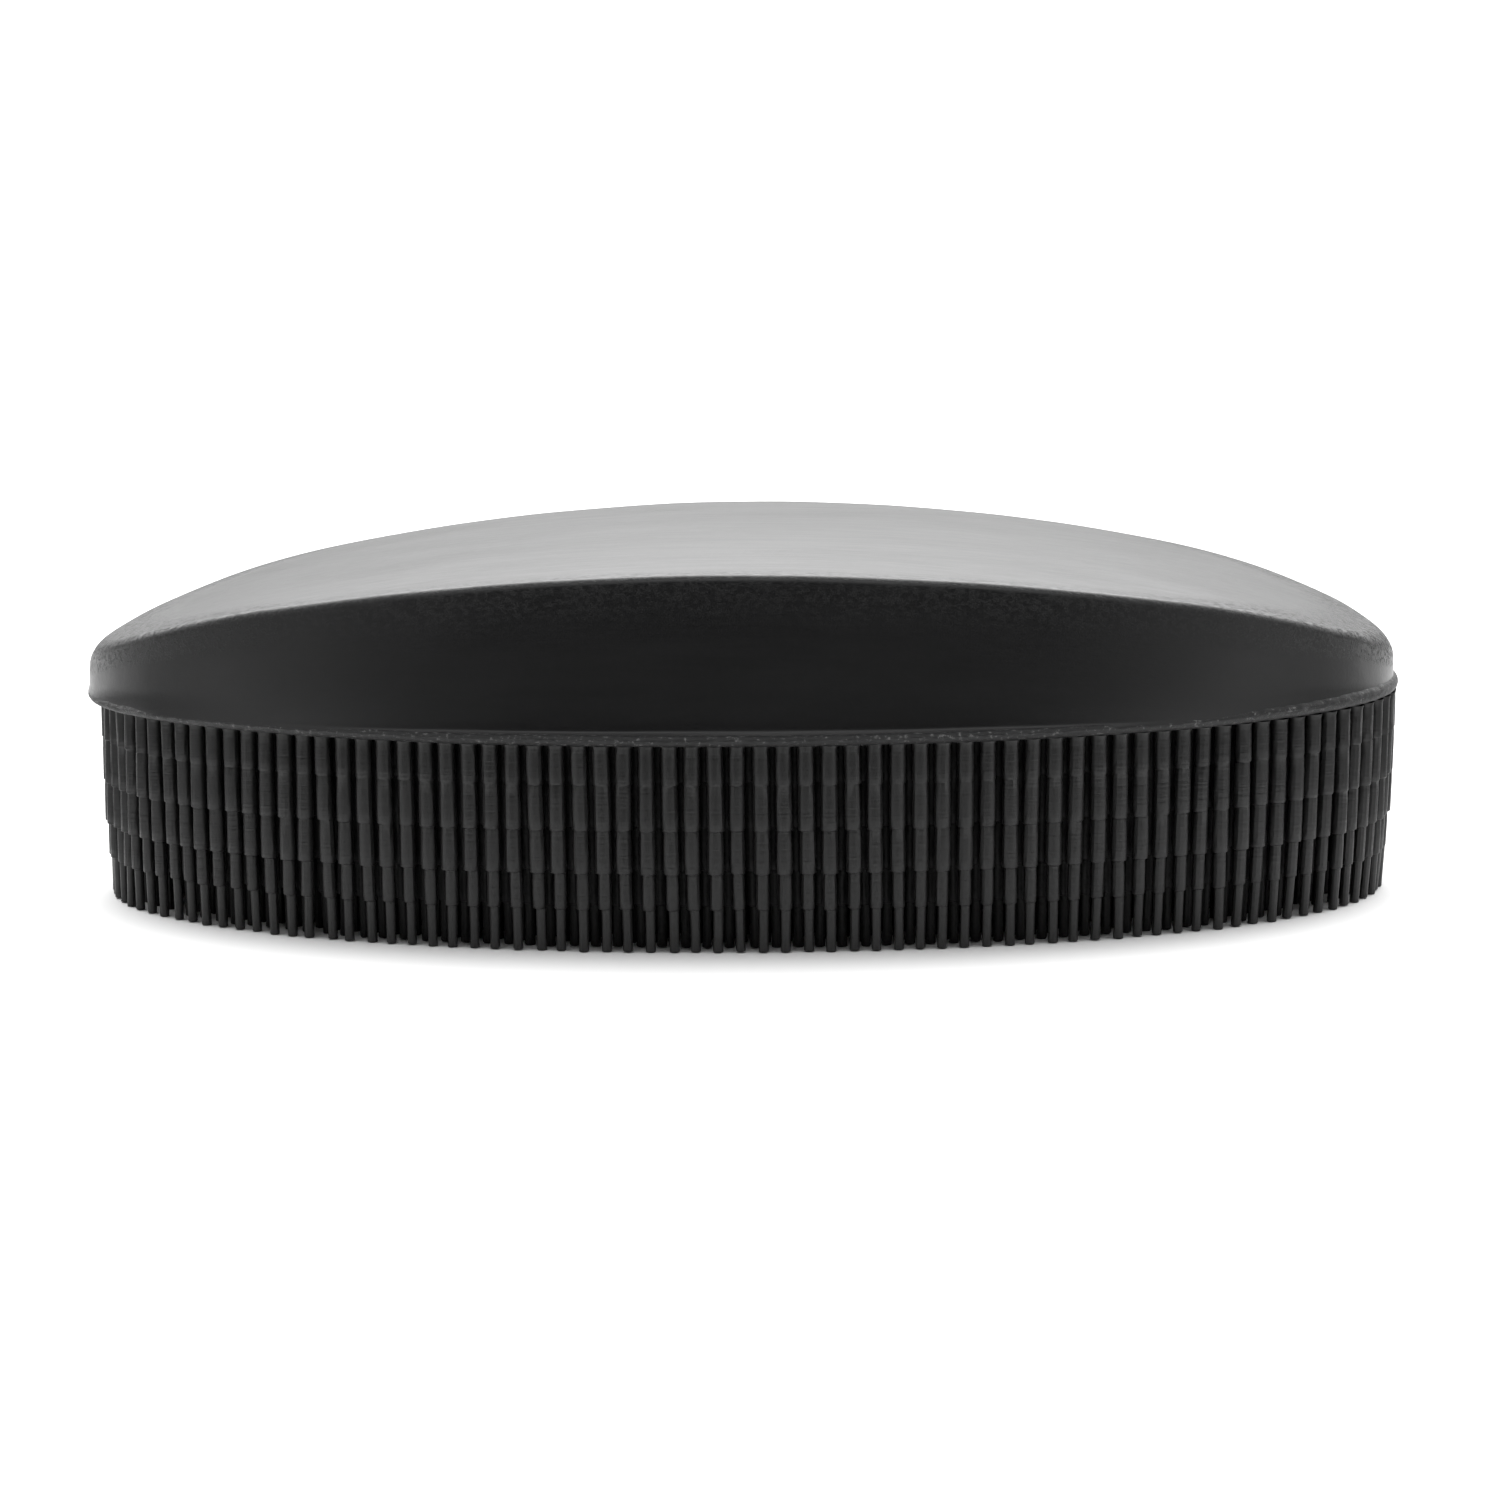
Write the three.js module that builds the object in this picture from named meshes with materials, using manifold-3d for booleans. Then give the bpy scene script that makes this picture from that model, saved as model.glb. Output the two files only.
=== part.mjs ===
// Palm-held rubber hand brush: an oval block of solid rubber that stands on its bristles.
// Millimetres, +Z up. +X runs along the brush. The origin is on the ground plane, under the
// middle of the brush, so z = 0 is the plane of the bristle tips.

import * as THREE from 'three';
import { mergeVertices } from 'three/addons/utils/BufferGeometryUtils.js';
import Module from 'manifold-3d';

const wasm = await Module();
wasm.setup();

// ---------------------------------------------------------------- driving dimensions

const LENGTH = 131;             // over the flange, along X
const WIDTH = 68.4;             // over the flange, along Y
const BRISTLE_LENGTH = 20;      // from the tips to the underside of the flange
const FLANGE_THICKNESS = 1.3;
const JOINT_GAP = 0.3;          // left between two neighbouring solids

// Grip body
const GRIP_HEIGHT = 13.84;      // from the flange's top to the crease at mid-length
const GRIP_INSET = 0.5;         // how far the body stands inside the flange's edge
const SIDE_DRAFT = 1.9;         // how far the sides lean in from foot to crease, past the hollows
const ARCH_RISE = 8.4;          // of the top, from an end to mid-length, as one arc
const END_DROOP = 1.8;          // how far the top falls below that arch at each end
const END_DROOP_LENGTH = 21;    // of the stretch at each end where it does
const CROWN = 0.46;             // how much higher the middle of the top is than its creases
const HOLLOW_INSET = 5.2;       // from the body's foot in to the crease, at mid-length
const HOLLOW_RADIUS = 180;      // of the finger hollow's edge, seen from above
const WALL_SLOPE = 4.3;         // how far the finger hollow's wall leans out, from crease to foot
const COVE_HEIGHT = 0.16;       // share of the wall's height that the flare at its foot takes
const HOLLOW_BLEND = 2.5;       // softens the line where a hollow runs out into the oval
const CREASE_RADIUS = 0.9;      // rounding of the top's edge along a hollow
const END_RADIUS = 2.1;         // rounding of the top's edge at the ends

// Bristles
const EDGE_SETBACK = 1.7;       // from the flange's edge to the centres of the outer row
const ROW_PITCH = 2.2;          // from row to row
const PIN_PITCH = 2.144;        // along a row
const ROOT_DIAMETER = 1.55;
const TIP_DIAMETER = 1.0;
const BAND_THICKNESS = 1.0;     // the strip that joins a row's pins at their roots
const PIN_ROWS = 2;             // outer rows that are made as single pins
const WALL_THICKNESS = 0.65;    // an inner row, as one wall with the rubber of its pins

// Fineness of the surfaces
const GRIP_SEGMENTS = 72;
const FLANGE_SEGMENTS = 96;
const WALL_SEGMENTS = 32;
const PIN_SIDES = 6;

// ---------------------------------------------------------------- places worked out from them

const FLANGE_Z = BRISTLE_LENGTH + JOINT_GAP;
const GRIP_Z = FLANGE_Z + FLANGE_THICKNESS;
const CREASE_Z = GRIP_Z + GRIP_HEIGHT;
const GRIP_HALF_LENGTH = LENGTH / 2 - GRIP_INSET;
const FOOT_HALF_WIDTH = WIDTH / 2 - GRIP_INSET;
const CREASE_HALF_WIDTH = FOOT_HALF_WIDTH - HOLLOW_INSET;
const ARCH_RADIUS = (GRIP_HALF_LENGTH ** 2 + ARCH_RISE ** 2) / (2 * ARCH_RISE);
const ROW_BAND_WIDTH = ROW_PITCH - JOINT_GAP;

const rubber = (name, color, roughness) =>
  Object.assign(new THREE.MeshStandardMaterial({ color, roughness, metalness: 0 }), { name });
const bodyRubber = rubber('body_rubber', 0x1c1c1d, 0.45);
const bristleRubber = rubber('bristle_rubber', 0x161617, 0.55);

// ---------------------------------------------------------------- helpers

function namedMesh(name, geometry, material) {
  const mesh = new THREE.Mesh(geometry, material);
  mesh.name = name;
  return mesh;
}

// An oval as a closed Shape or Path, corner to corner in straight steps.
function ovalPoints(halfLength, halfWidth, segments) {
  const curve = new THREE.EllipseCurve(0, 0, halfLength, halfWidth, 0, 2 * Math.PI);
  return curve.getPoints(segments).slice(0, segments);
}

// An upright oval plate, or an oval ring where a hole is given.
function ovalPlate(outer, hole, bottom, height) {
  const shape = new THREE.Shape(outer);
  if (hole) shape.holes.push(new THREE.Path(hole));
  const plate = new THREE.ExtrudeGeometry(shape, { depth: height, bevelEnabled: false });
  return plate.translate(0, 0, bottom);
}

// The smaller of two sizes, with the corner between them rounded off over the blend length.
function smoothMin(a, b, blend) {
  const h = Math.max(blend - Math.abs(a - b), 0) / blend;
  return Math.min(a, b) - h * h * blend / 4;
}

function toSolid(geometry) {
  const bare = geometry.clone();
  bare.deleteAttribute('normal');
  bare.deleteAttribute('uv');
  const merged = mergeVertices(bare, 1e-4);
  return new wasm.Manifold(new wasm.Mesh({
    numProp: 3,
    vertProperties: new Float32Array(merged.attributes.position.array),
    triVerts: new Uint32Array(merged.index.array),
  }));
}

function toGeometry(solid) {
  const mesh = solid.getMesh();
  const geometry = new THREE.BufferGeometry();
  geometry.setAttribute('position', new THREE.BufferAttribute(mesh.vertProperties, 3));
  geometry.setIndex(new THREE.BufferAttribute(mesh.triVerts, 1));
  geometry.computeVertexNormals();
  return geometry;
}

// ---------------------------------------------------------------- grip body

// Height of the crease line over a place along the brush.
function creaseHeight(x) {
  const arch = CREASE_Z - ARCH_RADIUS + Math.sqrt(ARCH_RADIUS ** 2 - x * x);
  const pastStart = Math.max(Math.abs(x) - (GRIP_HALF_LENGTH - END_DROOP_LENGTH), 0);
  return arch - END_DROOP * (pastStart / END_DROOP_LENGTH) ** 2;
}

// How far a finger hollow lets the wall stand out at mid-length, from foot (0) to crease (1).
function hollowHalfWidth(level) {
  const slope = WALL_SLOPE * Math.max(1 - level, 0) ** 1.15;
  const fullFoot = FOOT_HALF_WIDTH + HOLLOW_BLEND - CREASE_HALF_WIDTH - WALL_SLOPE;
  const cove = fullFoot * Math.max(1 - level / COVE_HEIGHT, 0) ** 2.2;
  return CREASE_HALF_WIDTH + slope + cove;
}

// The wall's outline at one level, stood in by inset, with angle running round the oval.
function wallPoint(angle, level, inset) {
  const x = (GRIP_HALF_LENGTH - inset) * Math.cos(angle);
  const oval = (FOOT_HALF_WIDTH - SIDE_DRAFT * level - inset) * Math.abs(Math.sin(angle));
  const sagitta = HOLLOW_RADIUS - Math.sqrt(HOLLOW_RADIUS ** 2 - x * x);
  const hollow = hollowHalfWidth(level) - sagitta - inset;
  const y = smoothMin(oval, hollow, HOLLOW_BLEND);
  return { x, y: Math.sign(Math.sin(angle)) * Math.max(y, 0) };
}

// 0 at the ends of the oval and 1 along the hollows, for the size of the edge's rounding.
function hollowShare(angle) {
  const oval = (FOOT_HALF_WIDTH - SIDE_DRAFT) * Math.abs(Math.sin(angle));
  const x = GRIP_HALF_LENGTH * Math.cos(angle);
  const hollow = CREASE_HALF_WIDTH - HOLLOW_RADIUS + Math.sqrt(HOLLOW_RADIUS ** 2 - x * x);
  return THREE.MathUtils.smoothstep(oval - hollow, -HOLLOW_BLEND / 2, HOLLOW_BLEND / 2);
}

function gripGeometry() {
  const wallLevels = [0, 0.04, 0.09, 0.16, 0.26, 0.4, 0.6, 0.8, 1];
  const roundSteps = 3;
  const topShares = [0.75, 0.5, 0.25];
  const rings = [];
  rings.push(...wallLevels.map((level) => ({ kind: 'wall', level })));
  for (let i = 1; i <= roundSteps; i++) rings.push({ kind: 'round', turn: i / roundSteps });
  rings.push(...topShares.map((share) => ({ kind: 'top', share })));

  // A lathe gives the closed grid: a pole under the foot, one ring per entry, a pole on top.
  const profile = [new THREE.Vector2(0, 0)];
  rings.forEach((ring, i) => profile.push(new THREE.Vector2(1, i + 1)));
  profile.push(new THREE.Vector2(0, rings.length + 1));
  const grid = new THREE.LatheGeometry(profile, GRIP_SEGMENTS);

  const position = grid.attributes.position;
  const perColumn = profile.length;
  for (let i = 0; i < position.count; i++) {
    const column = Math.floor(i / perColumn) % GRIP_SEGMENTS;
    const row = i % perColumn;
    const p = gripPoint(2 * Math.PI * column / GRIP_SEGMENTS, rings[row - 1], row === 0);
    position.setXYZ(i, p.x, p.y, p.z);
  }
  grid.deleteAttribute('normal');
  grid.deleteAttribute('uv');
  const closed = mergeVertices(grid, 1e-5);
  closed.computeVertexNormals();
  return closed;
}

// The place of one grid point: below is the pole under the foot, and no ring is the top's pole.
function gripPoint(angle, ring, below) {
  const gripBottom = GRIP_Z + JOINT_GAP;
  if (below) return { x: 0, y: 0, z: gripBottom };
  if (!ring) return { x: 0, y: 0, z: CREASE_Z + CROWN };
  const share = hollowShare(angle);
  const radius = END_RADIUS + (CREASE_RADIUS - END_RADIUS) * share;
  if (ring.kind === 'wall') {
    const p = wallPoint(angle, ring.level, 0);
    const shoulder = creaseHeight(p.x) - radius;
    return { ...p, z: gripBottom + (shoulder - gripBottom) * ring.level };
  }
  if (ring.kind === 'round') {
    const turn = ring.turn * Math.PI / 2;
    const p = wallPoint(angle, 1, radius * (1 - Math.cos(turn)));
    return { ...p, z: creaseHeight(p.x) - radius * (1 - Math.sin(turn)) };
  }
  const edge = wallPoint(angle, 1, radius);
  const x = edge.x * ring.share;
  const y = edge.y * ring.share;
  return { x, y, z: creaseHeight(x) + CROWN * (1 - ring.share ** 2) };
}

// ---------------------------------------------------------------- base flange

function flangeGeometry() {
  const outline = ovalPoints(LENGTH / 2, WIDTH / 2, FLANGE_SEGMENTS);
  return ovalPlate(outline, null, FLANGE_Z, FLANGE_THICKNESS);
}

// ---------------------------------------------------------------- bristle rows

// Half sizes of a row's oval, counted inwards from the edge.
function rowHalves(row) {
  const inset = EDGE_SETBACK + row * ROW_PITCH;
  return { length: LENGTH / 2 - inset, width: WIDTH / 2 - inset };
}

// Evenly spaced places along a row, set half a pitch on in every second row.
function rowPlaces(row) {
  const half = rowHalves(row);
  const curve = new THREE.EllipseCurve(0, 0, half.length, half.width, 0, 2 * Math.PI);
  curve.arcLengthDivisions = 2000;
  const count = Math.round(curve.getLength() / PIN_PITCH);
  const offset = row % 2 ? 0.5 : 0;
  return Array.from({ length: count }, (_, i) => curve.getPointAt(((i + offset) / count) % 1));
}

function pinRowGeometry(row) {
  const half = rowHalves(row);
  const reach = ROW_BAND_WIDTH / 2;
  const places = rowPlaces(row);
  const outer = ovalPoints(half.length + reach, half.width + reach, FLANGE_SEGMENTS);
  const inner = ovalPoints(half.length - reach, half.width - reach, FLANGE_SEGMENTS);
  const bandBottom = BRISTLE_LENGTH - BAND_THICKNESS;
  const band = toSolid(ovalPlate(outer, inner, bandBottom, BAND_THICKNESS));
  const overlap = BAND_THICKNESS / 2;
  const height = bandBottom + overlap;
  const pins = places.map((place) => {
    const pin = new THREE.CylinderGeometry(ROOT_DIAMETER / 2, TIP_DIAMETER / 2, height, PIN_SIDES);
    pin.rotateX(Math.PI / 2).translate(place.x, place.y, height / 2);
    return toSolid(pin);
  });
  return toGeometry(pins.reduce((sum, pin) => sum.add(pin), band));
}

function wallRowGeometry(row) {
  const half = rowHalves(row);
  const reach = WALL_THICKNESS / 2;
  const outer = ovalPoints(half.length + reach, half.width + reach, WALL_SEGMENTS);
  const inner = ovalPoints(half.length - reach, half.width - reach, WALL_SEGMENTS);
  return ovalPlate(outer, inner, 0, BRISTLE_LENGTH);
}

// ---------------------------------------------------------------- assembly

const brush = new THREE.Group();
brush.add(namedMesh('grip_body', gripGeometry(), bodyRubber));
brush.add(namedMesh('base_flange', flangeGeometry(), bodyRubber));

const ovalRows = Math.floor((WIDTH / 2 - EDGE_SETBACK - WALL_THICKNESS) / ROW_PITCH) + 1;
for (let row = 0; row < ovalRows; row++) {
  const geometry = row < PIN_ROWS ? pinRowGeometry(row) : wallRowGeometry(row);
  const name = `bristle_row_${String(row + 1).padStart(2, '0')}`;
  brush.add(namedMesh(name, geometry, bristleRubber));
}

export default brush;
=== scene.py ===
"""Looks of the rubber hand brush: its moulded grip, its lip, and every stepped bristle."""
import math

import bpy
import numpy as np
from mathutils import Matrix, Vector, noise


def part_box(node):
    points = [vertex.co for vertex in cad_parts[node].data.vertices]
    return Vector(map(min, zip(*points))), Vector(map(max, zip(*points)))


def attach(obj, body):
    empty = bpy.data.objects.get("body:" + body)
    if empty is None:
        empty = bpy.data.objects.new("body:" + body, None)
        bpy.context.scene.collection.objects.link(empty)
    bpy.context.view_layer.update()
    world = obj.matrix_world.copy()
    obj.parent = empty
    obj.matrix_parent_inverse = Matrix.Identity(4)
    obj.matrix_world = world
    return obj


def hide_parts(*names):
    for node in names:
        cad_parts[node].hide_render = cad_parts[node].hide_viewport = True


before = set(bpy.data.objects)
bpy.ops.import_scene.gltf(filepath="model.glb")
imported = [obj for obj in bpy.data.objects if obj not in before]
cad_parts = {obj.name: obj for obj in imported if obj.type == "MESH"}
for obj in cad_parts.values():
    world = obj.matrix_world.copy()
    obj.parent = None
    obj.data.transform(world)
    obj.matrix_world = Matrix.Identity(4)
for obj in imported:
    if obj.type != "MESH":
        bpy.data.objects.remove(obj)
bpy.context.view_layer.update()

MM = 0.001
RNG = np.random.default_rng(7)
noise.seed_set(7)                     # noise_vector takes its offsets from this seed

# ---------------------------------------------------------------- places from the frame

flange_low, flange_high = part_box("base_flange")
grip_low, grip_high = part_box("grip_body")
row_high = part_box("bristle_row_01")[1]
ROW_NODES = sorted(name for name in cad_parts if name.startswith("bristle_row_"))

HALF_LENGTH = (flange_high[0] - flange_low[0]) / 2
HALF_WIDTH = (flange_high[1] - flange_low[1]) / 2
ROOT_Z = row_high[2]                  # underside of the flange, where the bristles grow
TOP_Z = grip_high[2]
WALL_FOOT_Z = ROOT_Z + 0.7 * MM       # the rubber's wall runs down into the lip

# ---------------------------------------------------------------- grip body sizes
# The same as the CAD's, but for the cove, the flare and the fuller end at the wall's foot.

GRIP_INSET = 0.5 * MM                 # how far the body stands inside the flange's edge
HOLLOW_INSET = 5.2 * MM               # from the body's foot in to the crease, at mid-length
GRIP_HALF_LENGTH = (grip_high[0] - grip_low[0]) / 2
FOOT_HALF_WIDTH = HALF_WIDTH - GRIP_INSET
CREASE_HALF_WIDTH = FOOT_HALF_WIDTH - HOLLOW_INSET
SIDE_DRAFT = 1.9 * MM                 # how far the sides lean in up to the crease, past the hollows
CROWN = 0.46 * MM                     # how much higher the middle of the top is than its creases
CREASE_Z = TOP_Z - CROWN
ARCH_RISE = 8.4 * MM                  # of the top, from an end to mid-length, as one arc
ARCH_RADIUS = (GRIP_HALF_LENGTH ** 2 + ARCH_RISE ** 2) / (2 * ARCH_RISE)
END_DROOP = 1.8 * MM                  # how far the top falls below that arch at each end
END_DROOP_LENGTH = 21 * MM
HOLLOW_RADIUS = 180 * MM              # of the finger hollow's edge, seen from above
HOLLOW_BLEND = 2.5 * MM               # softens the line where a hollow runs out into the oval
WALL_SLOPE = 4.3 * MM                 # how far a hollow's wall leans out, from crease to foot
SLOPE_POWER = 1.15                    # bends that lean a little
COVE_HEIGHT = 0.045                   # of the small curve at the foot, as a share of the wall's
COVE_POWER = 2.2
CREASE_RADIUS = 0.9 * MM              # rounding of the top's edge along the sides
END_RADIUS = 2.1 * MM                 # and at the ends
END_ROUND_FROM = 0.93                 # the larger radius starts past this share of the half length
FOOT_FLARE = 0.45 * MM                # the wall's sweep out on to the lip, at the four flanks
FLARE_HEIGHT = 0.34                   # as a share of the wall's height
FLARE_COMES_IN = 0.25, 0.6            # over these shares of the half length
FLARE_GOES_DOWN = 0.85, 1.0           # and loses FLARE_END_LOSS of itself over these
FLARE_END_LOSS = 0.7
LEFT_FULLNESS = 0.3 * MM              # the -X end stands nearly flush with the lip
FULLNESS_COMES_IN = 0.9, 1.0
FULLNESS_TAPER = 0.3                  # the share of it that is lost up at the crease
UNEVEN_SIZE = 9 * MM                  # of the waves in the moulded surface
UNEVEN_AMOUNT = 0.05 * MM
UNEVEN_ABOVE = 0.6 * MM               # the wall's foot stays as it is, up to this height
EVEN_MIDDLE = 2 * MM                  # near the long middle line the waves only go up and down

GRIP_COLUMNS = 540
WALL_RINGS = 45
ROUND_RINGS = 9
TOP_RINGS = 26
RING_CROWDING = 1.4                   # crowds the wall's rings towards its foot

# How scuffed the rubber is, from 0 to 1, for the edge_wear attribute.
RIM_WEAR = 0.45                       # on the wall just under the edge
WALL_WEAR_FROM = 0.6                  # it comes in above this share of the wall's height
ROUND_WEAR = 0.4                      # added on the middle of the edge's rounding
TOP_WEAR = 0.6                        # on the top's rim
TOP_WEAR_FROM = 0.88                  # it comes in past this share of the way out
END_WEAR_COMES_IN = 0.55, 0.85        # wear is full past these shares of the half length
SIDE_WEAR = 0.25                      # and this share of it at mid-length

# ---------------------------------------------------------------- lip sizes

LIP_THICKNESS = 1.05 * MM
LIP_END_THICKENING = 0.5 * MM         # added at the +X end
THICK_END_COMES_IN = 0.55, 1.0        # by the share of the half length
BEAD_COMES_IN = 0.86, 0.99            # where the lip turns into a round bead, at both ends
BEAD_DEPTH = 0.85 * MM                # profile points that are nearer the edge follow the bead
LIP_DEPTH = 1 * MM                    # and the ones that are nearer than this follow the waves
LIP_MIDDLE_SHARE = 0.8                # height of the top's middle, hidden in the grip
LIP_COLUMNS = 1400
LIP_SHARP_ANGLE = 50                  # degrees
LIP_PROFILE = [                       # share of thickness, distance inside the edge, share of flash
    (0.0, 3.0 * MM, 0),
    (0.0, 1.1 * MM, 0),
    (0.02, 0.8 * MM, 0),
    (0.12, 0.42 * MM, 0),
    (0.28, 0.17 * MM, 0),
    (0.45, 0.05 * MM, 0),
    (0.58, 0.0, 0.4),
    (0.66, 0.0, 1),
    (0.74, 0.03 * MM, 0.3),
    (0.86, 0.12 * MM, 0),
    (0.96, 0.26 * MM, 0),
    (1.0, 0.42 * MM, 0),
    (1.0, 0.9 * MM, 0),
    (0.8, 3.0 * MM, 0),
]
# The torn flash and the waves of the lip's edge: amounts in millimetres, and noise features
# round a circle of radius 1.
FLASH_LEAST, FLASH_COARSE, FLASH_FINE = 0.05, 0.12, 0.1
FLASH_COARSE_SCALE, FLASH_FINE_SCALE = 7, 60
FLASH_OFFSET = (3, 1, 4)              # takes the coarse noise from another place
WAVE_INSET = 0.05
SLOW_OUT, QUICK_OUT = 0.05, 0.025
SLOW_RISE, QUICK_RISE = 0.05, 0.03
SLOW_SCALE, QUICK_SCALE = 5, 45

# ---------------------------------------------------------------- bristle sizes

EDGE_SETBACK = 1.7 * MM               # from the flange's edge to the outer row
ROW_PITCH = 2.2 * MM                  # from row to row
PIN_PITCH = 2.144 * MM                # along a row
ROW_STEPS = 6001                      # points that measure the length of a row's oval
FRONT_PHASE = 0.5                     # where the outer row's pins fall at the front, in pitches
SHIFT_RIGHT = 0.75 * MM               # the field sits a little towards +X at its two ends
SHIFT_LEFT = 0.45 * MM
OUTER_ROWS = 2                        # the rows that show, made finer
OUTER_SIDES, INNER_SIDES = 12, 6
PIN_SHARP_ANGLE = 30                  # degrees

# Down one bristle from root to tip, in five sections: shares of its length, diameters at each
# section's two ends, and how far each plate of the mould had slipped along X.
SECTION_SHARES = (0.188, 0.22, 0.209, 0.175, 0.208)
SECTION_STARTS = (1.54 * MM, 1.50 * MM, 1.42 * MM, 1.17 * MM, 0.97 * MM)
SECTION_ENDS = (1.61 * MM, 1.64 * MM, 1.59 * MM, 1.29 * MM, 0.95 * MM)
SECTION_SLIPS = (0.0, 0.01 * MM, 0.03 * MM, 0.09 * MM, 0.16 * MM)
INWARD_SLIP = 0.6                     # the same slips towards the middle, as a share
ROOT_FILLET = 0.1 * MM                # added to the radius where a pin meets the flange
ROOT_SHARE = 0.02                     # share of the length that the fillet takes
LEDGE_SHARE = 0.004                   # and that a step between two sections takes
LEDGE_ROUNDING = 0.03 * MM
SWELL_PLACES = 0.3, 0.75              # rings within a section
SWELL_START = 0.45                    # the start's share of the radius at the first of them
SWELL_SHORT = 0.01 * MM               # short of the full radius at the second
TIP_CHAMFER = 0.05 * MM
TIP_CHAMFER_AT = 0.997
TIP_BULGE = 0.02 * MM                 # of the tip's face

# How pins differ: lean of the tip, bow of the middle, length, thickness and place of a section.
LEAN_ALONG = -0.05 * MM               # of every tip, along X
LEAN_RIGHT = 1.1 * MM                 # inwards at the +X end
LEAN_LEFT = 0.1 * MM                  # and at the -X end
LEAN_SIDES = 0.9 * MM                 # and at the two sides
LEAN_POWER = 1.4                      # a pin leans more and more towards its tip
LEAN_SPREAD = 0.1 * MM
BOW_SPREAD = 0.035 * MM
SHORTEST_BY = 0.12 * MM
THICKNESS_SPREAD = 0.02
STEP_SPREAD = 0.025 * MM


# ---------------------------------------------------------------- mesh helpers

def mesh_object(name, verts, faces, material, sharp_angle=None):
    """A new object from points in metres and faces as rows of point numbers."""
    mesh = bpy.data.meshes.new(name)
    mesh.from_pydata(np.asarray(verts).tolist(), [], [list(f) for f in faces])
    mesh.polygons.foreach_set("use_smooth", [True] * len(mesh.polygons))
    if sharp_angle is not None:
        mesh.set_sharp_from_angle(angle=math.radians(sharp_angle))
    mesh.materials.append(material)
    mesh.update()
    obj = bpy.data.objects.new(name, mesh)
    bpy.context.scene.collection.objects.link(obj)
    return obj


def ring_faces(rings, sides):
    """Quads between rings of points that follow each other, wound to face outwards."""
    i, j = np.meshgrid(np.arange(rings - 1), np.arange(sides), indexing="ij")
    k = (j + 1) % sides
    quads = np.stack([i * sides + j, i * sides + k, (i + 1) * sides + k, (i + 1) * sides + j], -1)
    return quads.reshape(-1, 4)


def fan_faces(centre, ring_start, sides, flip):
    """Triangles from one point to the ring of points that begins at ring_start."""
    j = np.arange(sides)
    k = (j + 1) % sides
    a, b = (k, j) if flip else (j, k)
    return np.stack([np.full(sides, centre), ring_start + a, ring_start + b], -1)


def closed_faces(rings, sides):
    """Faces of a stack of rings, closed by one last point below it and then one above it."""
    count = rings * sides
    parts = [ring_faces(rings, sides)]
    parts.append(fan_faces(count, 0, sides, True))
    parts.append(fan_faces(count + 1, count - sides, sides, False))
    return [tuple(face) for part in parts for face in part]


def smooth_min(a, b, blend):
    """The smaller of two sizes, with the corner between them rounded off over the blend length."""
    h = np.maximum(blend - np.abs(a - b), 0) / blend
    return np.minimum(a, b) - h * h * blend / 4


def smoothstep(x, low, high):
    t = np.clip((x - low) / (high - low), 0, 1)
    return t * t * (3 - 2 * t)


# ---------------------------------------------------------------- grip body

def crease_height(x):
    """Height of the crease line over a place along the brush."""
    arch = CREASE_Z - ARCH_RADIUS + np.sqrt(ARCH_RADIUS ** 2 - x * x)
    past_start = np.maximum(np.abs(x) - (GRIP_HALF_LENGTH - END_DROOP_LENGTH), 0)
    return arch - END_DROOP * (past_start / END_DROOP_LENGTH) ** 2


def hollow_half_width(level):
    """How far a hollow lets the wall stand out at mid-length, from foot (0) to crease (1)."""
    slope = WALL_SLOPE * (1 - level) ** SLOPE_POWER
    full_foot = FOOT_HALF_WIDTH + HOLLOW_BLEND - CREASE_HALF_WIDTH - WALL_SLOPE
    cove = full_foot * max(1 - level / COVE_HEIGHT, 0) ** COVE_POWER
    return CREASE_HALF_WIDTH + slope + cove


def wall_outline(angles, level, inset):
    """The wall's outline at one level, from foot (0) to crease (1), stood in by inset."""
    x = (GRIP_HALF_LENGTH - inset) * np.cos(angles)
    oval = (FOOT_HALF_WIDTH - SIDE_DRAFT * level - inset) * np.abs(np.sin(angles))
    sagitta = HOLLOW_RADIUS - np.sqrt(HOLLOW_RADIUS ** 2 - x * x)
    hollow = hollow_half_width(level) - sagitta - inset
    y = np.maximum(smooth_min(oval, hollow, HOLLOW_BLEND), 0)
    along = np.cos(angles)
    across = np.abs(np.sin(angles))
    flank = smoothstep(np.abs(along), *FLARE_COMES_IN)
    flank = flank * (1 - FLARE_END_LOSS * smoothstep(np.abs(along), *FLARE_GOES_DOWN))
    flare = FOOT_FLARE * flank * np.maximum(1 - level / FLARE_HEIGHT, 0) ** 2
    fullness = smoothstep(-along, *FULLNESS_COMES_IN) * (1 - FULLNESS_TAPER * level)
    x = x - LEFT_FULLNESS * fullness
    return x + flare * along, np.sign(np.sin(angles)) * (y + flare * across)


def edge_radius(angles):
    """Rounding of the top's edge: small along the sides and larger at the two ends."""
    at_end = smoothstep(np.abs(np.cos(angles)), END_ROUND_FROM, 1.0)
    return CREASE_RADIUS + (END_RADIUS - CREASE_RADIUS) * at_end


def uneven(points):
    """A soft waviness for moulded rubber: points move by a smooth noise along Z and Y."""
    moved = points.copy()
    for i, p in enumerate(points):
        wave = noise.noise_vector(Vector(p) / UNEVEN_SIZE)
        moved[i, 1] += wave.y * UNEVEN_AMOUNT * min(1, abs(p[1]) / EVEN_MIDDLE)
        moved[i, 2] += wave.z * UNEVEN_AMOUNT
    return moved


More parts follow.
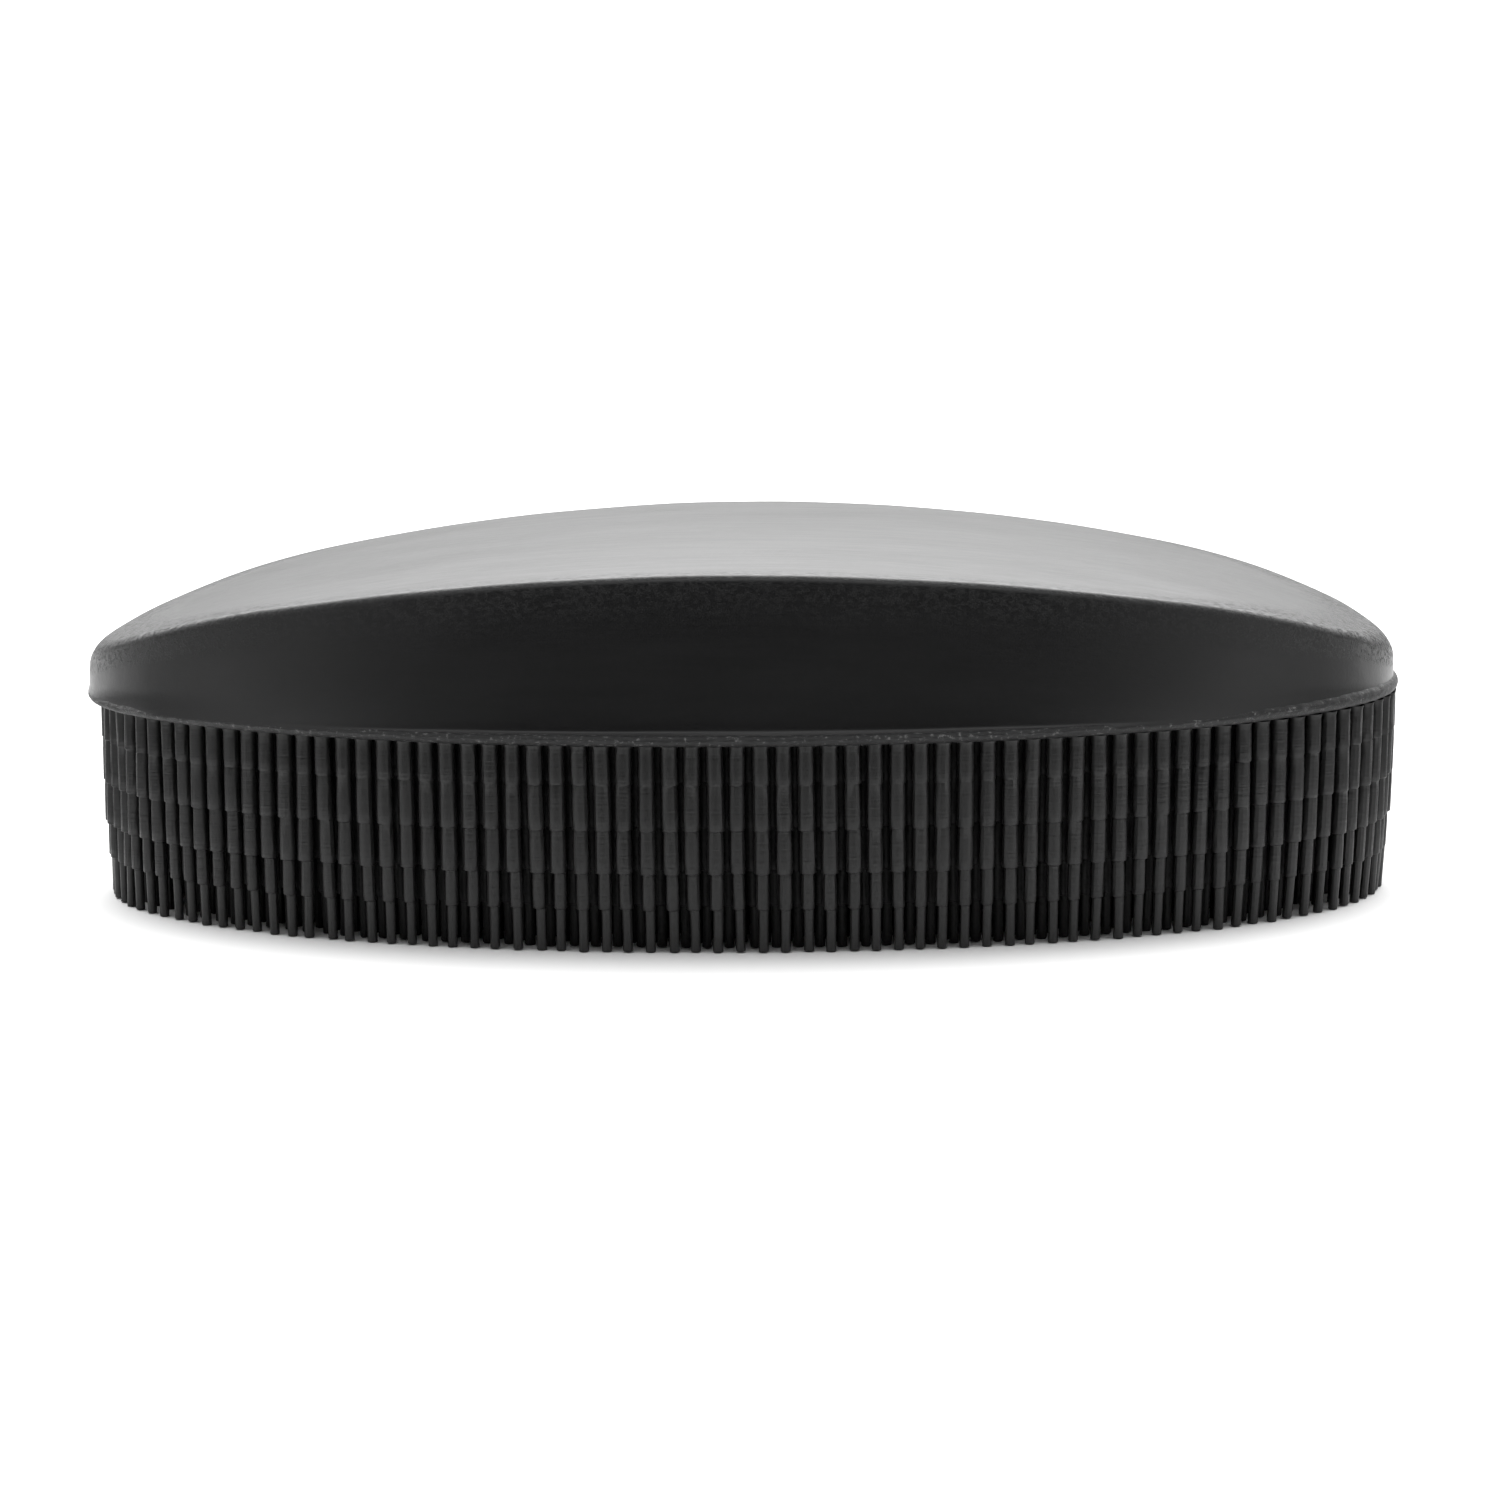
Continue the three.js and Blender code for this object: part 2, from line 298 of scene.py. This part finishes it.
def make_grip(material):
    """The grip body, ring by ring: up the wall, over the edge's rounding and in over the top."""
    angles = np.linspace(0, 2 * math.pi, GRIP_COLUMNS, endpoint=False)
    radius = edge_radius(angles)
    rings = []
    wear = []
    for level in np.linspace(0, 1, WALL_RINGS) ** RING_CROWDING:
        x, y = wall_outline(angles, level, 0)
        shoulder = crease_height(x) - radius
        rings.append((x, y, WALL_FOOT_Z + (shoulder - WALL_FOOT_Z) * level))
        wear.append(RIM_WEAR * smoothstep(level, WALL_WEAR_FROM, 1.0))
    for turn in np.linspace(0, math.pi / 2, ROUND_RINGS)[1:]:
        x, y = wall_outline(angles, 1, radius * (1 - math.cos(turn)))
        rings.append((x, y, crease_height(x) - radius * (1 - math.sin(turn))))
        wear.append(RIM_WEAR + ROUND_WEAR * math.sin(turn * 2))
    edge_x, edge_y = wall_outline(angles, 1, radius)
    for share in np.linspace(1, 0, TOP_RINGS)[1:-1]:
        x, y = edge_x * share, edge_y * share
        rings.append((x, y, crease_height(x) + CROWN * (1 - share ** 2)))
        wear.append(TOP_WEAR * smoothstep(share, TOP_WEAR_FROM, 1.0))
    points = np.concatenate([np.stack(ring, -1) for ring in rings])
    free = points[:, 2] > WALL_FOOT_Z + UNEVEN_ABOVE
    points[free] = uneven(points[free])
    verts = np.concatenate([points, [[0, 0, WALL_FOOT_Z], [0, 0, CREASE_Z + CROWN]]])
    grip = mesh_object("grip_rubber", verts, closed_faces(len(rings), GRIP_COLUMNS), material)
    at_end = smoothstep(np.abs(verts[:, 0]) / GRIP_HALF_LENGTH, *END_WEAR_COMES_IN)
    amount = np.concatenate([np.repeat(wear, GRIP_COLUMNS), [0, 0]])
    amount = amount * (SIDE_WEAR + (1 - SIDE_WEAR) * at_end)
    attribute = grip.data.attributes.new("edge_wear", "FLOAT", "POINT")
    attribute.data.foreach_set("value", amount.astype(np.float32))
    return grip


# ---------------------------------------------------------------- flange and its lip

def make_flange(material):
    """The oval plate under the grip: its edge is a thin rough lip, a round bead at the ends."""
    angles = np.linspace(0, 2 * math.pi, LIP_COLUMNS, endpoint=False)
    thick_end = smoothstep(np.cos(angles), *THICK_END_COMES_IN)
    beaded = smoothstep(np.abs(np.cos(angles)), *BEAD_COMES_IN)
    wavy = np.array([wavy_edge(a) for a in angles])
    ragged = np.array([ragged_edge(a) for a in angles])
    thick = LIP_THICKNESS + LIP_END_THICKENING * thick_end + wavy[:, 1] * 2
    rings = []
    for share, inside, flash in LIP_PROFILE:
        bead = thick / 2 * (1 - math.sqrt(1 - (2 * share - 1) ** 2))
        inset = inside + (bead - inside) * beaded * (inside < BEAD_DEPTH)
        out = -inset + (wavy[:, 0] + ragged * flash * (1 - beaded)) * (inside < LIP_DEPTH)
        x = (HALF_LENGTH + out) * np.cos(angles)
        y = (HALF_WIDTH + out) * np.sin(angles)
        z = ROOT_Z + thick * share + wavy[:, 1] * (0 < share < 1)
        rings.append(np.stack([x, y, z], -1))
    below = [0, 0, ROOT_Z]
    above = [0, 0, ROOT_Z + LIP_THICKNESS * LIP_MIDDLE_SHARE]
    verts = np.concatenate([*rings, [below, above]])
    faces = closed_faces(len(rings), LIP_COLUMNS)
    return mesh_object("flange_rubber", verts, faces, material, sharp_angle=LIP_SHARP_ANGLE)


def ragged_edge(angle):
    """How far the flash stands out of the lip here: mostly little, with a few longer shreds."""
    at = Vector((math.cos(angle), math.sin(angle), 0))
    fine = noise.noise(at * FLASH_FINE_SCALE)
    coarse = noise.noise(at * FLASH_COARSE_SCALE + Vector(FLASH_OFFSET))
    return max(0.0, FLASH_LEAST + FLASH_COARSE * coarse + FLASH_FINE * fine) * MM


def wavy_edge(angle):
    """How far the lip's edge waves outwards and upwards here."""
    at = Vector((math.cos(angle), math.sin(angle), 2))
    slow = noise.noise_vector(at * SLOW_SCALE)
    quick = noise.noise_vector(at * QUICK_SCALE)
    out = (SLOW_OUT * slow.x + QUICK_OUT * quick.x - WAVE_INSET) * MM
    rise = (SLOW_RISE * slow.y + QUICK_RISE * quick.y) * MM
    return out, rise


# ---------------------------------------------------------------- bristles

def row_roots(row):
    """Root centres of a row, evenly spaced along its oval, and set half a pitch on in odd rows."""
    inset = EDGE_SETBACK + row * ROW_PITCH
    a, b = HALF_LENGTH - inset, HALF_WIDTH - inset
    t = np.linspace(-math.pi / 2, 1.5 * math.pi, ROW_STEPS)       # starts at the front
    x, y = a * np.cos(t), b * np.sin(t)
    so_far = np.concatenate([[0], np.cumsum(np.hypot(np.diff(x), np.diff(y)))])
    count = round(so_far[-1] / PIN_PITCH)
    phase = FRONT_PHASE + 0.5 * (row % 2)
    s = (np.arange(count) + phase) / count * so_far[-1] % so_far[-1]
    roots = np.stack([np.interp(s, so_far, x), np.interp(s, so_far, y)], -1)
    along = roots[:, 0] / HALF_LENGTH
    roots[:, 0] += np.where(along > 0, SHIFT_RIGHT, SHIFT_LEFT) * along ** 2
    return roots


def pin_profile(fine):
    """(share of length, radius, section) down one bristle: each section swells to a small ledge."""
    first, second = SWELL_PLACES
    rings = [(0.0, SECTION_STARTS[0] / 2 + ROOT_FILLET, 0)]
    at = 0.0
    last = len(SECTION_SHARES) - 1
    for section, share in enumerate(SECTION_SHARES):
        start, end = SECTION_STARTS[section] / 2, SECTION_ENDS[section] / 2
        if fine:
            rings.append((at + (LEDGE_SHARE if section else ROOT_SHARE), start, section))
            swell = start * SWELL_START + end * (1 - SWELL_START)
            rings.append((at + share * first, swell, section))
            rings.append((at + share * second, end - SWELL_SHORT, section))
        else:
            rings.append((at + ROOT_SHARE, start, section))
        at += share
        if section < last:
            rings.append((at - LEDGE_SHARE, end, section))
            if fine:
                rings.append((at, end - LEDGE_ROUNDING, section))
    rings.append((TIP_CHAMFER_AT, end, last))
    rings.append((1.0, end - TIP_CHAMFER, last))
    return rings


def tip_lean(roots):
    """How far each tip stands from under its root: inwards, most at the +X end."""
    x = roots[:, 0] / HALF_LENGTH
    y = roots[:, 1] / HALF_WIDTH
    lean_x = LEAN_ALONG - np.where(x > 0, LEAN_RIGHT, LEAN_LEFT) * x ** 2 * np.sign(x)
    return np.stack([lean_x, -LEAN_SIDES * y], -1)


def make_row(row, material):
    """One oval row of bristles as one piece, each with its own lean, bow, length and slips."""
    fine = row < OUTER_ROWS
    sides = OUTER_SIDES if fine else INNER_SIDES
    profile = pin_profile(fine)
    roots = row_roots(row)
    count = len(roots)
    lean = tip_lean(roots) + RNG.normal(0, LEAN_SPREAD, (count, 2))
    bow = RNG.normal(0, BOW_SPREAD, (count, 2))
    shorter = RNG.uniform(0, SHORTEST_BY, count)
    thickness = RNG.normal(1, THICKNESS_SPREAD, count)
    slips = RNG.normal(0, STEP_SPREAD, (count, len(SECTION_SHARES), 2))
    inward = -np.stack([roots[:, 0] / HALF_LENGTH, roots[:, 1] / HALF_WIDTH], -1)
    slips += inward[:, None, :] * np.array(SECTION_SLIPS)[None, :, None] * INWARD_SLIP
    slips[:, :, 0] += SECTION_SLIPS
    turn = RNG.uniform(0, 2 * math.pi, count)
    around = np.linspace(0, 2 * math.pi, sides, endpoint=False)
    angle = turn[:, None] + around[None, :]
    length = ROOT_Z - TIP_BULGE - shorter
    rings = []
    for share, radius, section in profile:
        centre = roots + lean * share ** LEAN_POWER + slips[:, section]
        centre = centre + bow * math.sin(math.pi * share) * 2
        z = ROOT_Z - length * share
        r = (radius * thickness)[:, None]
        x = centre[:, 0, None] + r * np.cos(angle)
        y = centre[:, 1, None] + r * np.sin(angle)
        rings.append(np.stack([x, y, np.broadcast_to(z[:, None], x.shape)], -1))
    points = np.stack(rings, 1)                       # pin, ring, side, xyz
    tips = points[:, -1].mean(1) - [0, 0, TIP_BULGE]
    verts = np.concatenate([points.reshape(-1, 3), tips])
    per_pin = len(profile) * sides
    sleeve = ring_faces(len(profile), sides)[:, ::-1]
    tip_fan = fan_faces(0, per_pin - sides, sides, True)
    faces = []
    for pin in range(count):
        faces += [tuple(f) for f in sleeve + pin * per_pin]
        cap = tip_fan + pin * per_pin
        cap[:, 0] = count * per_pin + pin
        faces += [tuple(f) for f in cap]
    name = f"bristles_{row + 1:02d}"
    return mesh_object(name, verts, faces, material, sharp_angle=PIN_SHARP_ANGLE)


# ---------------------------------------------------------------- materials

# Linear colours.
BODY_BLACK = (0.0078, 0.0078, 0.0081)
DUSTY_GREY = (0.028, 0.028, 0.028)
SCUFFED_GREY = (0.032, 0.032, 0.032)
LIP_BLACK = (0.010, 0.010, 0.0103)
TORN_GREY = (0.085, 0.085, 0.084)
BRISTLE_DARK = (0.006, 0.006, 0.0062)
BRISTLE_PALE = (0.010, 0.010, 0.0098)

# Heights of the fine relief.
STREAK_RELIEF = 0.012 * MM
BROAD_RELIEF = 0.016 * MM
SCUFF_RELIEF = 0.13 * MM
GRAIN_RELIEF = 0.006 * MM
TORN_RELIEF = 0.13 * MM
RING_RELIEF = 0.055 * MM
BRISTLE_GRAIN_RELIEF = 0.015 * MM

DUST_FACES = 0.55, 0.98               # dust comes in as the surface faces up, by its normal's Z
SCUFF_ROUGHENS = 0.28                 # added to the roughness where the rubber is fully scuffed
MID_NOISE = 0.35, 0.65                # the part of a noise's range that gets stretched
WIDE_NOISE = 0.3, 0.7
OUTER_SPECULAR = 0.5
# Painted shade: the inner rows get this lower specular level, a darker copy of the bristle rubber
# that stands in for the shade between the rows.
SHADED_INNER_SPECULAR = 0.22

RANGE_SOCKETS = ("From Min", "From Max", "To Min", "To Max")
MIX_COLOURS = 6, 7                    # places of the Mix node's two colour inputs
MIX_RESULT = 2                        # and of its colour output


class Nodes:
    """A short way to write a node material."""

    def __init__(self, name):
        self.material = bpy.data.materials.new(name)
        self.material.use_nodes = True
        self.tree = self.material.node_tree
        self.shader = self.tree.nodes["Principled BSDF"]
        self.coords = self.tree.nodes.new("ShaderNodeTexCoord").outputs["Object"]

    def add(self, kind, **settings):
        node = self.tree.nodes.new(kind)
        for key, value in settings.items():
            setattr(node, key, value)
        return node

    def link(self, a, b):
        self.tree.links.new(a, b)

    def noise(self, scale, stretch=(1, 1, 1), detail=4, rough=0.55):
        """Noise in features per metre, stretched along an axis by a small number there."""
        mapping = self.add("ShaderNodeMapping")
        mapping.inputs["Scale"].default_value = stretch
        texture = self.add("ShaderNodeTexNoise")
        texture.inputs["Scale"].default_value = scale
        texture.inputs["Detail"].default_value = detail
        texture.inputs["Roughness"].default_value = rough
        self.link(self.coords, mapping.inputs["Vector"])
        self.link(mapping.outputs["Vector"], texture.inputs["Vector"])
        return texture.outputs["Fac"]

    def remap(self, value, span, levels, smooth=False):
        """Turns the span of a value into levels, and holds it at the nearer level outside."""
        node = self.add("ShaderNodeMapRange")
        node.interpolation_type = "SMOOTHSTEP" if smooth else "LINEAR"
        for name, number in zip(RANGE_SOCKETS, (*span, *levels)):
            node.inputs[name].default_value = number
        self.link(value, node.inputs["Value"])
        return node.outputs["Result"]

    def math(self, operation, a, b):
        """A Math node of two values, the second of which may be a plain number."""
        node = self.add("ShaderNodeMath", operation=operation)
        self.link(a, node.inputs[0])
        if isinstance(b, float):
            node.inputs[1].default_value = b
        else:
            self.link(b, node.inputs[1])
        return node.outputs[0]

    def mix(self, factor, low, high):
        """A colour between two, either of which may be a plain colour."""
        node = self.add("ShaderNodeMix", data_type="RGBA")
        self.link(factor, node.inputs["Factor"])
        for place, colour in zip(MIX_COLOURS, (low, high)):
            if isinstance(colour, tuple):
                node.inputs[place].default_value = (*colour, 1)
            else:
                self.link(colour, node.inputs[place])
        return node.outputs[MIX_RESULT]

    def bump(self, height, distance, normal=None):
        """A normal from the height, at full strength, on top of another normal if one is given."""
        node = self.add("ShaderNodeBump")
        node.inputs["Distance"].default_value = distance
        node.inputs["Strength"].default_value = 1.0
        self.link(height, node.inputs["Height"])
        if normal is not None:
            self.link(normal, node.inputs["Normal"])
        return node.outputs["Normal"]

    def finish(self, colour, roughness, normal):
        self.link(colour, self.shader.inputs["Base Color"])
        self.link(roughness, self.shader.inputs["Roughness"])
        self.link(normal, self.shader.inputs["Normal"])
        return self.material


def body_rubber():
    """Satin black rubber: fine streaks along the brush, a dusty bloom on top, scuffed edges."""
    m = Nodes("body_rubber")
    streaks = m.noise(3000, (0.035, 1, 1), detail=4, rough=0.6)
    broad = m.noise(420, (0.12, 1, 1), detail=4, rough=0.6)
    patches = m.noise(70, (0.45, 1, 1), detail=3)
    grain = m.noise(4200, detail=3, rough=0.7)
    scuff = m.noise(2600, (0.55, 1, 0.8), detail=5, rough=0.8)

    worn = m.add("ShaderNodeAttribute", attribute_name="edge_wear").outputs["Fac"]
    scuffed = m.math("MULTIPLY", worn, m.remap(scuff, (0.5, 0.6), (0, 1), smooth=True))

    parts = m.add("ShaderNodeSeparateXYZ")
    m.link(m.add("ShaderNodeNewGeometry").outputs["Normal"], parts.inputs[0])
    upward = m.remap(parts.outputs["Z"], DUST_FACES, (0, 1), smooth=True)
    dust = m.math("MULTIPLY", upward, m.remap(patches, MID_NOISE, (0.15, 1)))
    dust = m.math("MULTIPLY", dust, m.remap(broad, MID_NOISE, (0.5, 1)))
    colour = m.mix(dust, BODY_BLACK, DUSTY_GREY)
    specks = m.math("MULTIPLY", scuffed, m.remap(grain, (0.5, 0.68), (0.1, 1)))
    colour = m.mix(specks, colour, SCUFFED_GREY)

    fine = m.remap(streaks, WIDE_NOISE, (-0.025, 0.025))
    rough = m.math("ADD", fine, m.remap(patches, MID_NOISE, (0.315, 0.365)))
    rough = m.math("ADD", rough, m.remap(broad, MID_NOISE, (-0.018, 0.018)))
    rough = m.math("ADD", rough, m.math("MULTIPLY", scuffed, SCUFF_ROUGHENS))

    normal = m.bump(broad, BROAD_RELIEF)
    normal = m.bump(streaks, STREAK_RELIEF, normal)
    normal = m.bump(m.math("MULTIPLY", scuffed, scuff), SCUFF_RELIEF, normal)
    normal = m.bump(grain, GRAIN_RELIEF, normal)
    return m.finish(colour, rough, normal)


def lip_rubber():
    """The same rubber where the mould closed: rougher, and paler on torn specks."""
    m = Nodes("lip_rubber")
    torn = m.noise(2600, (0.35, 0.35, 1), detail=5, rough=0.7)
    specks = m.noise(2300, detail=3, rough=0.7)
    colour = m.mix(m.remap(specks, (0.56, 0.68), (0, 1), smooth=True), LIP_BLACK, TORN_GREY)
    return m.finish(colour, m.remap(torn, WIDE_NOISE, (0.42, 0.62)), m.bump(torn, TORN_RELIEF))


def bristle_rubber(name, specular):
    """Black rubber with the fine turning rings of the mould's drilled holes."""
    m = Nodes(name)
    # Painted shade: a low specular level here makes the darker copy for the inner rows, which stand
    # in shade.
    m.shader.inputs["Specular IOR Level"].default_value = specular
    rings = m.noise(3500, (0.02, 0.02, 1), detail=3, rough=0.6)
    grain = m.noise(4000, detail=3)
    tint = m.remap(m.noise(260, (1, 1, 0.1)), WIDE_NOISE, (0, 1))
    colour = m.mix(tint, BRISTLE_DARK, BRISTLE_PALE)
    normal = m.bump(grain, BRISTLE_GRAIN_RELIEF, m.bump(rings, RING_RELIEF))
    return m.finish(colour, m.remap(grain, WIDE_NOISE, (0.4, 0.52)), normal)


# ---------------------------------------------------------------- camera, light and floor

CAMERA_DISTANCE = 0.488
CAMERA_ELEVATION = math.radians(9.37)
CAMERA_AZIMUTH = math.radians(2.55)
CAMERA_ROLL = math.radians(-0.716)
CLIP_START = 0.01
LOOK_AT = Vector((0, 0, 0.020))
AIM_RIGHT, AIM_UP = 0.0009, -0.0061   # from the looked-at point to the middle of the frame
LENS = 117                            # millimetres, on a sensor this wide
SENSOR_WIDTH = 36

# Brightness of the surroundings by direction, each as a span of X, Y or Z and the levels that
# it goes between. Z is the sine of the height above the horizon.
SKY_RISE = (0.1, 0.27), (0.06, 3.05)      # the backdrop, by Z: from the horizon up
SKY_FALL = (0.6, 1.0), (1.0, 0.4)         # and from there to overhead
SKY_BESIDE = (0.25, 0.7), (0.85, 2.0)     # the soft boxes at the sides, by Z
SIDE_GAP = (-0.42, 0.1), (1.0, 0.2)       # they end before the backdrop begins, by Y
SKY_BEHIND = (0.1, 0.75), (0.0, 1.0)      # where the backdrop takes over, by Y
SKY_SIDEWAYS = (0.35, 1.05), (0.01, 1.0)  # the front is dark, and the sides are lit, by X
SKY_BACKWARD = (-0.1, 0.4), (0.0, 1.0)    # and so is the back, by Y
SKY_UPWARD = (0.62, 0.96), (0.0, 0.75)    # and overhead, by Z

SUN_STRENGTH = 5.2
SUN_SIZE = math.radians(60)
SUN_TILT = math.radians(-14)

# Flat areas as their low X, low Y, high X and high Y.
FLOOR_ALBEDO = 0.75
FLOOR_AREAS = [(-12.0, -12.0, 12.0, 12.0)]
CARD_ALBEDO = 0.12
CARD_AREAS = [(-0.5, -1.2, 0.5, -0.06), (-0.5, -0.06, -0.085, 0.04), (0.085, -0.06, 0.5, 0.04)]
CARD_LIFT = 0.0006


def make_camera():
    """The camera, which looks down on the front of the brush a little from the right."""
    data = bpy.data.cameras.new("camera")
    data.lens = LENS
    data.sensor_width = SENSOR_WIDTH
    data.clip_start = CLIP_START
    camera = bpy.data.objects.new("camera", data)
    bpy.context.scene.collection.objects.link(camera)
    flat = math.cos(CAMERA_ELEVATION)
    away = Vector((math.sin(CAMERA_AZIMUTH) * flat, -math.cos(CAMERA_AZIMUTH) * flat,
                   math.sin(CAMERA_ELEVATION)))
    place = LOOK_AT + away * CAMERA_DISTANCE
    right = Vector((math.cos(CAMERA_AZIMUTH), math.sin(CAMERA_AZIMUTH), 0))
    up = away.cross(right)
    target = LOOK_AT + right * AIM_RIGHT + up * AIM_UP
    back = (place - target).normalized()
    right = (right - back * right.dot(back)).normalized()
    up = back.cross(right)
    turned = Matrix((right, up, back)).transposed() @ Matrix.Rotation(CAMERA_ROLL, 3, "Z")
    camera.matrix_world = Matrix.Translation(place) @ turned.to_4x4()
    bpy.context.scene.camera = camera


def make_world():
    """A studio by direction: a bright backdrop, soft boxes at the sides, dark in front."""
    world = bpy.data.worlds.new("studio")
    bpy.context.scene.world = world
    world.use_nodes = True
    tree = world.node_tree
    background = tree.nodes["Background"]
    background.inputs["Color"].default_value = (1, 1, 1, 1)
    coords = tree.nodes.new("ShaderNodeTexCoord")
    parts = tree.nodes.new("ShaderNodeSeparateXYZ")
    tree.links.new(coords.outputs["Generated"], parts.inputs[0])

    def remap(value, span, levels):
        node = tree.nodes.new("ShaderNodeMapRange")
        node.interpolation_type = "SMOOTHSTEP"
        for name, number in zip(RANGE_SOCKETS, (*span, *levels)):
            node.inputs[name].default_value = number
        tree.links.new(value, node.inputs["Value"])
        return node.outputs["Result"]

    def combine(operation, *values):
        node = tree.nodes.new("ShaderNodeMath")
        node.operation = operation
        for value, socket in zip(values, node.inputs):
            tree.links.new(value, socket)
        return node.outputs[0]

    def times(a, b):
        return combine("MULTIPLY", a, b)

    x, y, z = parts.outputs
    behind = times(remap(z, *SKY_RISE), remap(z, *SKY_FALL))
    beside = times(remap(z, *SKY_BESIDE), remap(y, *SIDE_GAP))
    mix = tree.nodes.new("ShaderNodeMix")
    mix_factor, mix_low, mix_high = mix.inputs[0], mix.inputs[2], mix.inputs[3]
    tree.links.new(remap(y, *SKY_BEHIND), mix_factor)
    tree.links.new(beside, mix_low)
    tree.links.new(behind, mix_high)
    sideways = remap(combine("ABSOLUTE", x), *SKY_SIDEWAYS)
    lit = combine("MAXIMUM", sideways, remap(y, *SKY_BACKWARD))
    lit = combine("MAXIMUM", lit, remap(z, *SKY_UPWARD))
    tree.links.new(times(mix.outputs[0], lit), background.inputs["Strength"])


def plain_material(name, albedo):
    """A fully matt grey for the stage."""
    material = bpy.data.materials.new(name)
    material.use_nodes = True
    shader = material.node_tree.nodes["Principled BSDF"]
    shader.inputs["Base Color"].default_value = (albedo, albedo, albedo, 1)
    shader.inputs["Roughness"].default_value = 1.0
    shader.inputs["Specular IOR Level"].default_value = 0.0
    return material


def flat_mesh(name, areas, height, albedo):
    """Flat rectangles at one height, as one object."""
    corners = []
    for low_x, low_y, high_x, high_y in areas:
        corners += [(low_x, low_y, height), (high_x, low_y, height)]
        corners += [(high_x, high_y, height), (low_x, high_y, height)]
    quads = [tuple(range(i, i + 4)) for i in range(0, len(corners), 4)]
    return mesh_object(name, corners, quads, plain_material(name, albedo))


def make_stage():
    """A pale floor, and dark cards on it before and beside the brush, seen only in reflections."""
    floor = flat_mesh("floor", FLOOR_AREAS, 0, FLOOR_ALBEDO)
    card = flat_mesh("card", CARD_AREAS, CARD_LIFT, CARD_ALBEDO)
    card.visible_camera = False
    card.visible_diffuse = False
    card.visible_shadow = False


def make_light():
    """A very large soft light overhead, which reflections don't show."""
    data = bpy.data.lights.new("overhead", "SUN")
    data.energy = SUN_STRENGTH
    data.angle = SUN_SIZE
    light = bpy.data.objects.new("overhead", data)
    light.rotation_euler = (SUN_TILT, 0, 0)
    light.visible_glossy = False
    bpy.context.scene.collection.objects.link(light)


# ---------------------------------------------------------------- assembly

make_camera()
make_world()
make_stage()
make_light()
bpy.context.scene.view_settings.view_transform = "Standard"

body = body_rubber()
lip = lip_rubber()
bristle = bristle_rubber("bristle_rubber", OUTER_SPECULAR)
# Painted shade: the inner rows take a darker, less glossy copy of the bristle rubber, so the gaps
# between the outer pins stay black.
painted_shade_bristle = bristle_rubber("bristle_rubber_inner_painted_shade", SHADED_INNER_SPECULAR)    # keeps the gaps black

grip = make_grip(body)
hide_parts("grip_body")
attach(grip, "root")

flange = make_flange(lip)
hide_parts("base_flange")
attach(flange, "root")

for row, node in enumerate(ROW_NODES):
    # Painted shade: every row behind the outer one takes the darker copy.
    pins = make_row(row, painted_shade_bristle if row else bristle)
    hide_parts(node)
    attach(pins, "root")
